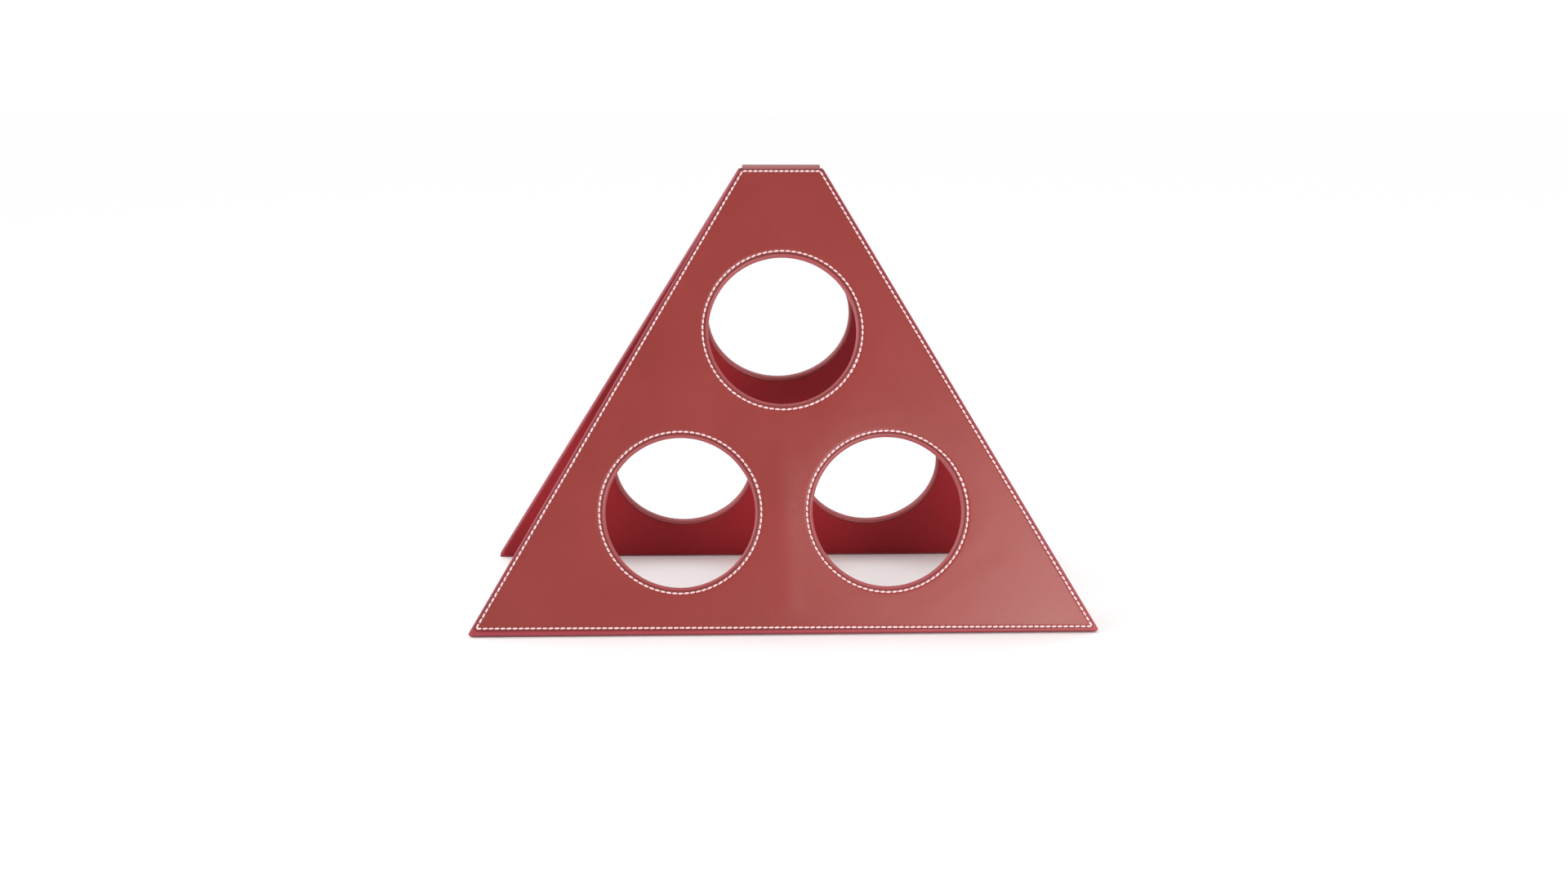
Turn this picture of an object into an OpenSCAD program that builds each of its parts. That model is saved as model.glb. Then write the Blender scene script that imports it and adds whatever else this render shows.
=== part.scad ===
/* [Panel] */
// Width of a panel along its bottom edge, mm
base_width = 374; // [372:2:520]
// Height of a panel measured along its slope, mm
panel_height = 279; // [258:1:282]
// Angle between the bottom edge and each side edge, degrees
edge_angle = 60; // [60:0.5:70]
// Lean of each panel from the vertical as the rack stands, degrees
lean = 17.75; // [12:0.25:25]

/* [Layers] */
// Thickness of the stiff board inside a panel, mm
board_t = 5; // [4:0.5:10]
// Thickness of the leather cover on the outer face, mm
cover_t = 1.2; // [0.8:0.1:2]
// Thickness of the lining on the inner face, mm
lining_t = 0.8; // [0.5:0.1:1.5]
// Thickness of the leather used for bindings, liners and the hinge, mm
strip_t = 0.8; // [0.6:0.1:1.2]
// Width of the turned-in flange of a binding or liner, mm
flange_w = 6; // [4:0.5:10]

/* [Bottle holes] */
// Clear diameter of a bottle hole inside its leather liner, mm
hole_d = 89; // [70:1:100]
// Distance between the two lower holes, mm
hole_pitch = 123; // [104:1:150]
// Height of the lower holes above the bottom edge, along the slope, mm
lower_row = 72; // [60:1:90]
// Rise from the lower holes to the upper one, along the slope, mm
row_rise = 109; // [90:1:120]
// Radius of the rounded lip of a hole liner, mm
lip_r = 1.7; // [1:0.1:2]

/* [Edges] */
// Radius of the rounded outer corners of an edge binding, mm
binding_r = 1.2; // [0.8:0.1:1.9]
// How far the cover stops short of the side edges, mm
cover_side_inset = 1.5; // [0.2:0.1:2]
// How far the cover stops short of the bottom edge, mm
cover_foot_inset = 2.6; // [0.5:0.1:3]
// How far the lining stops short of the side and bottom edges, mm
lining_inset = 2; // [1.5:0.5:5]

/* [Seams] */
// Width of a sewn thread line, mm
thread_w = 0.9; // [0.6:0.1:1.5]
// How far the thread stands above the cover, mm
thread_proud = 0.35; // [0.2:0.05:0.6]
// Distance from the cover's edge to its edge seam, mm
edge_margin = 1.2; // [0.8:0.1:4]
// Distance from the rim of the cover's holes to the hole seams, mm
hole_margin = 1.6; // [1:0.1:4]

/* [Hinge] */
// Width of the leather hinge strip, mm
hinge_w = 47; // [30:1:48]
// Length of each hinge leaf sewn under a cover, mm
leaf_len = 24; // [15:1:40]
// Rise of the slack arch between the two leaves, mm
arch_rise = 1.8; // [0.4:0.1:2.2]
// Gap between the two linings when the rack is folded flat, mm
fold_gap = 0.3; // [0.2:0.1:1]

/* [Colours] */
// Colour of the smooth red leather on the outside
leather_colour = "#A44A46";
// Colour of the bindings and hole liners
liner_colour = "#B4615E";
// Colour of the lining on the inner faces
lining_colour = "#7E2A2C";
// Colour of the stiff board
board_colour = "#8A7A66";
// Colour of the sewing thread
thread_colour = "#EFE1DC";

/* [Hidden] */
$fn = 96;

hole_r = hole_d / 2;
cover_hole_r = hole_r + lip_r + 0.2;
seam_r = cover_hole_r + hole_margin;
lining_hole_r = hole_r + lip_r + 0.3;
cover_top = board_t + cover_t;
groove_d = 0.5;
groove_play = 0.05;
leaf_play = 0.05;
top_gap = 0.2;

// The fold axis lies just outside the linings and just above the top edges.
pivot_v = panel_height + top_gap;
pivot_w = -(lining_t + fold_gap / 2);
pivot_z = binding_r + (pivot_v - binding_r) * cos(lean) - (binding_r - pivot_w) * sin(lean);

// Half width of the panel at height v, drawn in by s from its side edges.
function half_w(v, s) = base_width / 2 - v / tan(edge_angle) - s / sin(edge_angle);

// Corners of the panel outline drawn in by s at the sides, b below and t above.
function corners(s, b, t) = [
    [-half_w(b, s), b],
    [half_w(b, s), b],
    [half_w(panel_height - t, s), panel_height - t],
    [-half_w(panel_height - t, s), panel_height - t]
];

// Unit vectors that halve the corner angles, pointing into the panel.
half_foot = edge_angle / 2;
half_top = 90 - edge_angle / 2;
bisectors = [
    [cos(half_foot), sin(half_foot)],
    [-cos(half_foot), sin(half_foot)],
    [-cos(half_top), -sin(half_top)],
    [cos(half_top), -sin(half_top)]
];

// Centre of the hole on side -1, 0 or 1 of the panel.
function hole_at(side) = [side * hole_pitch / 2, side == 0 ? lower_row + row_rise : lower_row];

// Point of the standing front panel seen from the side, as [y, z].
function side_view(v, w) = [
    -(pivot_v - v) * sin(lean) - (w - pivot_w) * cos(lean),
    pivot_z - (pivot_v - v) * cos(lean) + (w - pivot_w) * sin(lean)
];

// Stands a flat panel up as the front half of the rack.
module front_pose() {
    translate([0, 0, pivot_z])
        rotate([90 - lean, 0, 0])
            translate([0, -pivot_v, -pivot_w])
                children();
}

// Stands a flat panel up as the back half of the rack.
module back_pose() {
    rotate([0, 0, 180])
        front_pose()
            children();
}

// Part of the plane nearest to one side of an outline, cut along the corner bisectors.
module mitre_zone(points, side) {
    next = (side + 1) % 4;
    polygon([
        points[side] - 6 * bisectors[side],
        points[next] - 6 * bisectors[next],
        points[next] + 14 * bisectors[next],
        points[side] + 14 * bisectors[side]
    ]);
}

// Lays a profile along one side of an outline, with mitred ends.
module along_side(points, side) {
    next = (side + 1) % 4;
    run = points[next] - points[side];
    angle = atan2(run[1], run[0]);
    intersection() {
        translate([points[side][0], points[side][1], 0])
            rotate([0, 0, angle])
                translate([-20, 0, 0])
                    rotate([90, 0, 90])
                        linear_extrude(height = norm(run) + 40)
                            children();
        translate([0, 0, -5])
            linear_extrude(height = board_t + 20)
                mitre_zone(points, side);
    }
}

// Folded strip of leather that wraps an edge: a web with two flanges, rounded outside.
module wrap_profile(r) {
    difference() {
        union() {
            translate([r, 0])
                square([flange_w - r, board_t]);
            translate([0, r])
                square([r + 0.01, board_t - 2 * r]);
            translate([r, r])
                circle(r);
            translate([r, board_t - r])
                circle(r);
        }
        translate([strip_t, strip_t])
            square([flange_w, board_t - 2 * strip_t]);
    }
}

// Section of a thread lying in its groove, with its top corners bevelled.
module thread_profile() {
    low = cover_top - groove_d;
    high = cover_top + thread_proud;
    half = thread_w / 2;
    bevel = thread_w * 0.3;
    polygon([
        [-half, low],
        [half, low],
        [half, high - bevel],
        [half - bevel, high],
        [bevel - half, high],
        [-half, high - bevel]
    ]);
}

// Cylinders through the panel at the three bottle holes.
module hole_cuts(r, low, high) {
    for (side = [-1, 0, 1])
        translate([hole_at(side)[0], hole_at(side)[1], low])
            cylinder(r = r, h = high - low);
}

// Shallow pocket under the cover's top edge, where a leaf of the hinge strip lies.
module leaf_pocket() {
    translate([-hinge_w / 2 - 0.2, panel_height - leaf_len - 0.2, board_t - strip_t - 2 * leaf_play])
        cube([hinge_w + 0.4, leaf_len + 3, 3]);
}

// Stiff board with rebates for the turned-in leather and the hinge leaf.
module panel_board() {
    difference() {
        linear_extrude(height = board_t)
            polygon(corners(strip_t, strip_t, 0));
        hole_cuts(hole_r + strip_t, -1, board_t + 1);
        for (low = [-1, board_t - strip_t]) {
            hole_cuts(hole_r + flange_w, low, low == -1 ? strip_t : board_t + 1);
            translate([0, 0, low])
                linear_extrude(height = low == -1 ? 1 + strip_t : strip_t + 1)
                    difference() {
                        polygon(corners(-2, -2, -2));
                        polygon(corners(flange_w, flange_w, -3));
                    }
        }
        leaf_pocket();
    }
}

// Leather cover of the outer face, with grooves for its seams.
module panel_cover() {
    margin = cover_side_inset + edge_margin;
    half = thread_w / 2 + groove_play;
    difference() {
        translate([0, 0, board_t])
            linear_extrude(height = cover_t)
                polygon(corners(cover_side_inset, cover_foot_inset, 0));
        hole_cuts(cover_hole_r, board_t - 1, cover_top + 1);
        translate([0, 0, cover_top - groove_d])
            linear_extrude(height = groove_d + 1)
                difference() {
                    polygon(corners(margin - half, foot_margin() - half, top_margin() - half));
                    polygon(corners(margin + half, foot_margin() + half, top_margin() + half));
                }
        for (side = [-1, 0, 1])
            translate([hole_at(side)[0], hole_at(side)[1], cover_top - groove_d])
                difference() {
                    cylinder(r = seam_r + half, h = groove_d + 1);
                    translate([0, 0, -1])
                        cylinder(r = seam_r - half, h = groove_d + 3);
                }
    }
}

// Distance from the bottom edge of the panel to the edge seam.
function foot_margin() = cover_foot_inset + edge_margin;

// Distance from the top edge of the panel to the edge seam.
function top_margin() = edge_margin;

// Thin lining glued over the turned-in flanges on the inner face.
module panel_lining() {
    difference() {
        translate([0, 0, -lining_t])
            linear_extrude(height = lining_t)
                polygon(corners(lining_inset, lining_inset, 0));
        hole_cuts(lining_hole_r, -lining_t - 1, 1);
    }
}

// Binding of one side of the panel: 0 foot, 1 right, 3 left.
module panel_binding(side) {
    points = corners(0, 0, 0);
    along_zone = side == 0 ? points : corners(0, 0, -8);
    difference() {
        along_side(along_zone, side)
            wrap_profile(binding_r);
        translate([-base_width, panel_height, -5])
            cube([2 * base_width, 20, board_t + 10]);
        if (side != 0)
            leaf_pocket();
    }
}

// Leather liner of one bottle hole, with a rounded lip at both ends.
module panel_liner(side) {
    translate([hole_at(side)[0], hole_at(side)[1], 0])
        rotate_extrude()
            translate([hole_r, 0])
                wrap_profile(lip_r);
}

// Thread of the seam around the edge of the cover, which dives in at each corner.
module panel_edge_seam() {
    points = corners(cover_side_inset + edge_margin, foot_margin(), top_margin());
    for (side = [0:3]) {
        run = points[(side + 1) % 4] - points[side];
        translate([points[side][0], points[side][1], 0])
            rotate([0, 0, atan2(run[1], run[0])])
                translate([thread_w, 0, 0])
                    rotate([90, 0, 90])
                        linear_extrude(height = norm(run) - 2 * thread_w)
                            thread_profile();
    }
}

// Thread of the seam around one bottle hole.
module panel_hole_seam(side) {
    translate([hole_at(side)[0], hole_at(side)[1], 0])
        rotate_extrude()
            translate([seam_r, 0])
                thread_profile();
}

module front_board() {
    color(board_colour)
        front_pose()
            panel_board();
}

module front_cover() {
    color(leather_colour)
        front_pose()
            panel_cover();
}

module front_lining() {
    color(lining_colour)
        front_pose()
            panel_lining();
}

module front_foot_binding() {
    color(liner_colour)
        front_pose()
            panel_binding(0);
}

module front_left_binding() {
    color(liner_colour)
        front_pose()
            panel_binding(3);
}

module front_right_binding() {
    color(liner_colour)
        front_pose()
            panel_binding(1);
}

module front_top_liner() {
    color(liner_colour)
        front_pose()
            panel_liner(0);
}

module front_left_liner() {
    color(liner_colour)
        front_pose()
            panel_liner(-1);
}

module front_right_liner() {
    color(liner_colour)
        front_pose()
            panel_liner(1);
}

module front_edge_seam() {
    color(thread_colour)
        front_pose()
            panel_edge_seam();
}

module front_top_seam() {
    color(thread_colour)
        front_pose()
            panel_hole_seam(0);
}

module front_left_seam() {
    color(thread_colour)
        front_pose()
            panel_hole_seam(-1);
}

module front_right_seam() {
    color(thread_colour)
        front_pose()
            panel_hole_seam(1);
}

module back_board() {
    color(board_colour)
        back_pose()
            panel_board();
}

module back_cover() {
    color(leather_colour)
        back_pose()
            panel_cover();
}

module back_lining() {
    color(lining_colour)
        back_pose()
            panel_lining();
}

module back_foot_binding() {
    color(liner_colour)
        back_pose()
            panel_binding(0);
}

module back_left_binding() {
    color(liner_colour)
        back_pose()
            panel_binding(1);
}

module back_right_binding() {
    color(liner_colour)
        back_pose()
            panel_binding(3);
}

module back_top_liner() {
    color(liner_colour)
        back_pose()
            panel_liner(0);
}

module back_left_liner() {
    color(liner_colour)
        back_pose()
            panel_liner(1);
}

module back_right_liner() {
    color(liner_colour)
        back_pose()
            panel_liner(-1);
}

module back_edge_seam() {
    color(thread_colour)
        back_pose()
            panel_edge_seam();
}

module back_top_seam() {
    color(thread_colour)
        back_pose()
            panel_hole_seam(0);
}

module back_left_seam() {
    color(thread_colour)
        back_pose()
            panel_hole_seam(1);
}

module back_right_seam() {
    color(thread_colour)
        back_pose()
            panel_hole_seam(-1);
}

// Height on a leaf's face w where it meets a circle of radius r around the point c.
function leaf_end(w, r, c) =
    let(p = side_view(panel_height, w) - c, along = p * [sin(lean), cos(lean)])
    panel_height - along + sqrt(along * along - p * p + r * r);

// Half a section of the hinge strip on its face w: a leaf, then an arc of radius r around c.
function strip_face(w, r, c) =
    let(bend = side_view(leaf_end(w, r, c), w), sweep = asin((bend - c)[0] / r))
    concat(
        [side_view(panel_height - leaf_len, w)],
        [for (i = [0:6]) c + r * [sin(sweep * (1 - i / 6)), cos(sweep * (1 - i / 6))]]
    );

// The same points on the other side of the crest, in reverse order.
function mirrored(points) = [for (i = [len(points) - 1:-1:0]) [-points[i][0], points[i][1]]];

// Leather strip over the top: a leaf under each cover and a slack arch between them.
module hinge_strip() {
    low_w = board_t - strip_t - leaf_play;
    high_w = board_t - leaf_play;
    bend = side_view(panel_height + 0.6, (low_w + high_w) / 2);
    arch_r = (bend[0] * bend[0] + arch_rise * arch_rise) / (2 * arch_rise);
    centre = [0, bend[1] + arch_rise - arch_r];
    outer = strip_face(high_w, arch_r + strip_t / 2, centre);
    inner = strip_face(low_w, arch_r - strip_t / 2, centre);
    last = len(outer) - 2;
    half = concat(
        [for (i = [last:-1:0]) outer[i]],
        [for (i = [0:last]) inner[i]]
    );
    color(leather_colour)
        translate([-hinge_w / 2, 0, 0])
            rotate([90, 0, 90])
                linear_extrude(height = hinge_w)
                    polygon(concat(
                        [outer[last + 1]],
                        half,
                        [inner[last + 1]],
                        mirrored(half)
                    ));
}

front_board();
front_cover();
front_lining();
front_foot_binding();
front_left_binding();
front_right_binding();
front_top_liner();
front_left_liner();
front_right_liner();
front_edge_seam();
front_top_seam();
front_left_seam();
front_right_seam();
back_board();
back_cover();
back_lining();
back_foot_binding();
back_left_binding();
back_right_binding();
back_top_liner();
back_left_liner();
back_right_liner();
back_edge_seam();
back_top_seam();
back_left_seam();
back_right_seam();
hinge_strip();
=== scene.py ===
# %% [markdown]
# # A folding leather bottle rack
# The rack is two leather-covered panels that lean on each other like a tent, with three bottle holes in
# each. The solid model is loaded first and stays fixed. Everything below is placed in its frame, in metres.

# %% Load the solid frame
import math

import bpy
import numpy as np
from mathutils import Matrix, Vector, noise
from mathutils.geometry import delaunay_2d_cdt


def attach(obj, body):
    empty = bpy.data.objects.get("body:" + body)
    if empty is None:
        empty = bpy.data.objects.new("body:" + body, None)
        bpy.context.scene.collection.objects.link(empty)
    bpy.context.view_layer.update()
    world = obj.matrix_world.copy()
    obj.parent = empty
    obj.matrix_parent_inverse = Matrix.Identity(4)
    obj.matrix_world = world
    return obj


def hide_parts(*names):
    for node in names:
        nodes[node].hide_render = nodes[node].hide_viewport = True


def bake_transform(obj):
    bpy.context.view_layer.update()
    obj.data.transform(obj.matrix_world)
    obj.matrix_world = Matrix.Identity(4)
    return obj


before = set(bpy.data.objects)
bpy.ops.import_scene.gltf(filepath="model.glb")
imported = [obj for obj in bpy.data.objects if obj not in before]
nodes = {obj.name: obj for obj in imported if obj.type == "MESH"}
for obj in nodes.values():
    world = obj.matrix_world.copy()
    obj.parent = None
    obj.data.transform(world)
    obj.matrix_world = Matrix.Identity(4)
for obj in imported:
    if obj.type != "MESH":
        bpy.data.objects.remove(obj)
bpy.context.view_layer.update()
print("solid nodes:", len(nodes))

# %% [markdown]
# Both panels are the same flat sandwich, so every piece is drawn once on a flat panel and then stood up.
# On the flat panel, x runs across, v runs up the slope from the foot edge, and w runs outwards from the
# board's inner face. These sizes are in millimetres and are the same as those of the solids.

# %% Sizes of the flat panel
MM = 0.001
base_width = 374.0  # along the foot edge
panel_height = 279.0  # up the slope
edge_angle = math.radians(60.0)  # between the foot and a side edge
lean = math.radians(17.75)  # of each panel, from upright
board_t = 5.0
cover_t = 1.2
lining_t = 0.8
strip_t = 0.8  # leather of the bindings, the hole liners and the hinge
flange_w = 6.0  # how far a folded strip is turned in
hole_r = 44.5
lip_r = 1.7  # rounding of a hole's rolled lip
binding_r = 1.2  # rounding of an edge binding
hinge_w = 47.0  # along the fold
leaf_len = 24.0  # of the hinge, down under each cover
cover_top = board_t + cover_t
holes = {"left": (-61.5, 72.0), "right": (61.5, 72.0), "top": (0.0, 181.0)}
fold_above = 0.2  # from the panel's top edge to the fold line
fold_behind = 0.15  # from the lining to the fold line
pivot_v = panel_height + fold_above
pivot_w = -(lining_t + fold_behind)
pivot_z = binding_r + (pivot_v - binding_r) * math.cos(lean) - (binding_r - pivot_w) * math.sin(lean)


def half_turn(panel):
    """1 for the front panel, and -1 for the back one, which is the same panel turned half round."""
    return 1.0 if panel == "front" else -1.0


def stand_up(points, panel):
    """Turns flat panel points (x, v, w in mm) into standing points in metres."""
    p = np.asarray(points, float).reshape(-1, 3)
    drop = pivot_v - p[:, 1]
    out = p[:, 2] - pivot_w
    y = -drop * math.sin(lean) - out * math.cos(lean)
    z = pivot_z - drop * math.cos(lean) + out * math.sin(lean)
    turn = half_turn(panel)
    return np.stack([turn * p[:, 0], turn * y, z], axis=1) * MM


def outward(panel):
    """Unit vector that points out of a standing panel's outer face."""
    return Vector((0.0, -half_turn(panel) * math.cos(lean), math.sin(lean)))


def own_side(panel, side):
    """Name of the hole or edge on the flat panel that stands on this side of the rack."""
    if panel == "front":
        return side
    return {"left": "right", "right": "left"}.get(side, side)


print("fold line is", round(pivot_z, 2), "mm above the table")

# %% [markdown]
# The photograph was taken from a little above the rack's middle, slightly to its left. The camera's place
# came from lining up the seams and hole rims, so it is set as a matrix: its right, up and backward
# directions and its position.

# %% Camera at the photograph's angle
yaw = 0.0393  # radians to the right
pitch = 0.2126  # downwards
roll = 0.0036
place = Vector((-0.04353, -1.17, 0.35064))
focal_px = 2343.7
photo_width_px = 1920.0
sensor_mm = 36.0
ahead = Vector((math.sin(yaw) * math.cos(pitch), math.cos(yaw) * math.cos(pitch), -math.sin(pitch)))
level = Vector((math.cos(yaw), -math.sin(yaw), 0.0))
upright = level.cross(ahead)
right = level * math.cos(roll) + upright * math.sin(roll)
up = upright * math.cos(roll) - level * math.sin(roll)
camera_data = bpy.data.cameras.new("photo_camera")
camera_data.sensor_width = sensor_mm
camera_data.lens = focal_px / photo_width_px * sensor_mm
camera = bpy.data.objects.new("photo_camera", camera_data)
bpy.context.collection.objects.link(camera)
camera.matrix_world = Matrix((
    (right.x, up.x, -ahead.x, place.x),
    (right.y, up.y, -ahead.y, place.y),
    (right.z, up.z, -ahead.z, place.z),
    (0.0, 0.0, 0.0, 1.0),
))
bpy.context.scene.camera = camera
print("lens", round(camera_data.lens, 2), "mm")

# %% [markdown]
# Leather has fine pores in a net of tiny creases, and its dye is never quite even. A picture of hide could be
# wrapped round each piece, but noise on object coordinates has no seams and never repeats. Every leather here
# uses both effects, so they live in one node group: it puts out a height for the bump and a slow mottle for
# the colour. Small helpers add and wire the nodes of this tree and of all the later ones.

# %% Shader group: leather grain


def set_inputs(node, values):
    """Sets the values of some of a node's inputs, by the socket's name or number."""
    for socket, value in values.items():
        node.inputs[socket].default_value = value


def add_node(tree, kind, inputs=None, **settings):
    """A new node with its settings, and with values for some of its inputs."""
    node = tree.nodes.new(kind)
    for setting, value in settings.items():
        setattr(node, setting, value)
    set_inputs(node, inputs or {})
    return node


def wire(tree, *links):
    """Joins sockets of a node tree. A link is (node, its output, other node, its input)."""
    for source, given, target, taken in links:
        tree.links.new(source.outputs[given], target.inputs[taken])


grain = bpy.data.node_groups.new("leather_grain", "ShaderNodeTree")
grain.interface.new_socket("Vector", in_out="INPUT", socket_type="NodeSocketVector")
for label, value in (("Pores per metre", 1500.0), ("Mottle per metre", 14.0)):
    socket = grain.interface.new_socket(label, in_out="INPUT", socket_type="NodeSocketFloat")
    socket.default_value = value
for label in ("Height", "Mottle"):
    grain.interface.new_socket(label, in_out="OUTPUT", socket_type="NodeSocketFloat")
grain_in = add_node(grain, "NodeGroupInput")
grain_out = add_node(grain, "NodeGroupOutput")
warp = add_node(grain, "ShaderNodeTexNoise", {"Scale": 420.0, "Detail": 2.0})
bend = add_node(grain, "ShaderNodeVectorMath", {1: (0.0007, 0.0007, 0.0007)}, operation="MULTIPLY_ADD")
cells = add_node(grain, "ShaderNodeTexVoronoi", feature="DISTANCE_TO_EDGE")
creases = add_node(grain, "ShaderNodeMapRange", {"From Max": 0.45}, interpolation_type="SMOOTHSTEP")
fine = add_node(grain, "ShaderNodeTexNoise", {"Scale": 2600.0, "Detail": 3.0})
blend_height = add_node(grain, "ShaderNodeMath", {1: 0.4}, operation="MULTIPLY_ADD")
slow = add_node(grain, "ShaderNodeTexNoise", {"Detail": 5.0, "Roughness": 0.6})
wire(
    grain,
    (grain_in, "Vector", warp, "Vector"),
    (warp, "Color", bend, 0),
    (grain_in, "Vector", bend, 2),
    (bend, "Vector", cells, "Vector"),
    (grain_in, "Pores per metre", cells, "Scale"),
    (cells, "Distance", creases, "Value"),
    (grain_in, "Vector", fine, "Vector"),
    (fine, "Fac", blend_height, 0),
    (creases, "Result", blend_height, 2),
    (grain_in, "Vector", slow, "Vector"),
    (grain_in, "Mottle per metre", slow, "Scale"),
    (blend_height, "Value", grain_out, "Height"),
    (slow, "Fac", grain_out, "Mottle"),
)
print("grain group has", len(grain.nodes), "nodes")

# %% [markdown]
# Each leather is a Principled shader with the grain group in front of it. The cut edges of leather are
# painted dark by the maker, and the same dark colour, laid thinly beside the seams, is painted shade. A
# second material there would end in a hard line, so the meshes carry a number instead, 1 on a cut edge, a
# little beside a seam and 0 on the face, and the colour follows it.

# %% Leather materials
# dark edge paint; thinly beside the seams the same colour is painted shade
edge_paint_and_shade = (0.08, 0.012, 0.014)
gloss_spread = 0.06  # how far the roughness strays with the mottle


def new_material(name, inputs):
    """A material with nodes, its tree, and its Principled shader with values for some of its inputs."""
    material = bpy.data.materials.new(name)
    material.use_nodes = True
    tree = material.node_tree
    shader = tree.nodes["Principled BSDF"]
    set_inputs(shader, inputs)
    return material, tree, shader


def leather(name, light, dark, rough, shine, pores, depth):
    """A dyed leather: two tones mixed by the mottle, painted cut edges, painted shade beside the seams, and
    grain as a bump.
    """
    material, tree, shader = new_material(name, {"Specular IOR Level": shine})
    where = add_node(tree, "ShaderNodeTexCoord")
    hide = add_node(tree, "ShaderNodeGroup", {"Pores per metre": pores}, node_tree=grain)
    tone = add_node(tree, "ShaderNodeMix", {"A": (*dark, 1.0), "B": (*light, 1.0)}, data_type="RGBA")
    spread = add_node(tree, "ShaderNodeMapRange", {"From Min": 0.3, "From Max": 0.7})
    # this number is 1 on painted cut edges and small beside the seams, where it lays painted shade
    dye_and_shade = add_node(tree, "ShaderNodeAttribute", attribute_name="dye_and_shade")
    edge = add_node(tree, "ShaderNodeMix", {"B": (*edge_paint_and_shade, 1.0)}, data_type="RGBA")
    gloss = add_node(
        tree, "ShaderNodeMapRange", {"To Min": rough - gloss_spread, "To Max": rough + gloss_spread})
    bump = add_node(tree, "ShaderNodeBump", {"Strength": 0.4, "Distance": depth})
    wire(
        tree,
        (where, "Object", hide, "Vector"),
        (hide, "Mottle", spread, "Value"),
        (spread, "Result", tone, "Factor"),
        (tone, "Result", edge, "A"),
        (dye_and_shade, "Fac", edge, "Factor"),
        (edge, "Result", shader, "Base Color"),
        (hide, "Mottle", gloss, "Value"),
        (gloss, "Result", shader, "Roughness"),
        (hide, "Height", bump, "Height"),
        (bump, "Normal", shader, "Normal"),
    )
    return material


cover_leather = leather(
    "cover_leather", light=(0.235, 0.0304, 0.0268), dark=(0.208, 0.0258, 0.0226),
    rough=0.37, shine=0.36, pores=1500.0, depth=0.00005)
rolled_leather = leather(
    "rolled_leather", light=(0.32, 0.052, 0.056), dark=(0.27, 0.044, 0.047),
    rough=0.40, shine=0.50, pores=1700.0, depth=0.00005)
binding_leather = leather(
    "binding_leather", light=(0.32, 0.038, 0.053), dark=(0.28, 0.032, 0.045),
    rough=0.42, shine=0.40, pores=1500.0, depth=0.00005)
inner_leather = leather(
    "inner_leather", light=(0.265, 0.0145, 0.0205), dark=(0.23, 0.0125, 0.017),
    rough=0.62, shine=0.14, pores=1300.0, depth=0.00007)
hinge_leather = leather(
    "hinge_leather", light=(0.31, 0.085, 0.080), dark=(0.27, 0.070, 0.066),
    rough=0.34, shine=0.50, pores=1500.0, depth=0.00005)
print("leathers:", [name for name in bpy.data.materials.keys() if name.endswith("leather")])

# %% [markdown]
# The boards are hidden inside the leather. Only their top edges can be glimpsed, beside the hinge, so they
# keep their solid shape and get a pressed-fibre material: brown, speckled and matt, with a dark red stain
# along the top edge.

# %% Board material
stain_starts = 6.0  # below the fold line, in mm
stain_full = 4.0
stain_heights = {"From Min": (pivot_z - stain_starts) * MM, "From Max": (pivot_z - stain_full) * MM}
fibre, fibre_tree, fibre_shader = new_material("pressed_fibre", {"Roughness": 0.85})
fibre_where = add_node(fibre_tree, "ShaderNodeTexCoord")
speck = add_node(fibre_tree, "ShaderNodeTexNoise", {"Scale": 900.0, "Detail": 4.0})
browns = add_node(fibre_tree, "ShaderNodeValToRGB")
browns.color_ramp.elements[0].color = (0.13, 0.085, 0.05, 1.0)
browns.color_ramp.elements[1].color = (0.34, 0.25, 0.16, 1.0)
fibre_place = add_node(fibre_tree, "ShaderNodeSeparateXYZ")
near_top = add_node(fibre_tree, "ShaderNodeMapRange", stain_heights)
stain = add_node(fibre_tree, "ShaderNodeMix", {"B": (0.10, 0.012, 0.015, 1.0)}, data_type="RGBA")
wire(
    fibre_tree,
    (fibre_where, "Object", speck, "Vector"),
    (speck, "Fac", browns, "Fac"),
    (fibre_where, "Object", fibre_place, "Vector"),
    (fibre_place, "Z", near_top, "Value"),
    (near_top, "Result", stain, "Factor"),
    (browns, "Color", stain, "A"),
    (stain, "Result", fibre_shader, "Base Color"),
)
boards = ("front_board", "back_board")
for board in boards:
    nodes[board].data.materials.clear()
    nodes[board].data.materials.append(fibre)
print("boards painted:", len(boards))

# %% [markdown]
# A skin is a sheet cut to the panel's outline with three round holes. A Boolean could cut the holes from a
# flat sheet, but the rims need many close rows of points, for the rounded cut edge and the dip under the
# thread, while the middle needs few. So the rims are rows of quads, and the middle is filled by a
# triangulation that is held to the innermost rows.

# %% Outlines with rounded corners
corner_r = 1.6
corner_steps = 5
least_fillet = 0.05


def half_width(v, inset):
    """Half the panel's width at height v, drawn in by inset from its side edges."""
    return base_width / 2 - v / math.tan(edge_angle) - inset / math.sin(edge_angle)


def corners(side, foot, top, slant=0.0):
    """The outline's four corners, anticlockwise, drawn in at the sides, foot and top.

    The foot edge is raised by slant at its left end and lowered by it at its right end.
    """
    high = panel_height - top
    return np.array([
        (-half_width(foot + slant, side), foot + slant),
        (half_width(foot - slant, side), foot - slant),
        (half_width(high, side), high),
        (-half_width(high, side), high),
    ])


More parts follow.
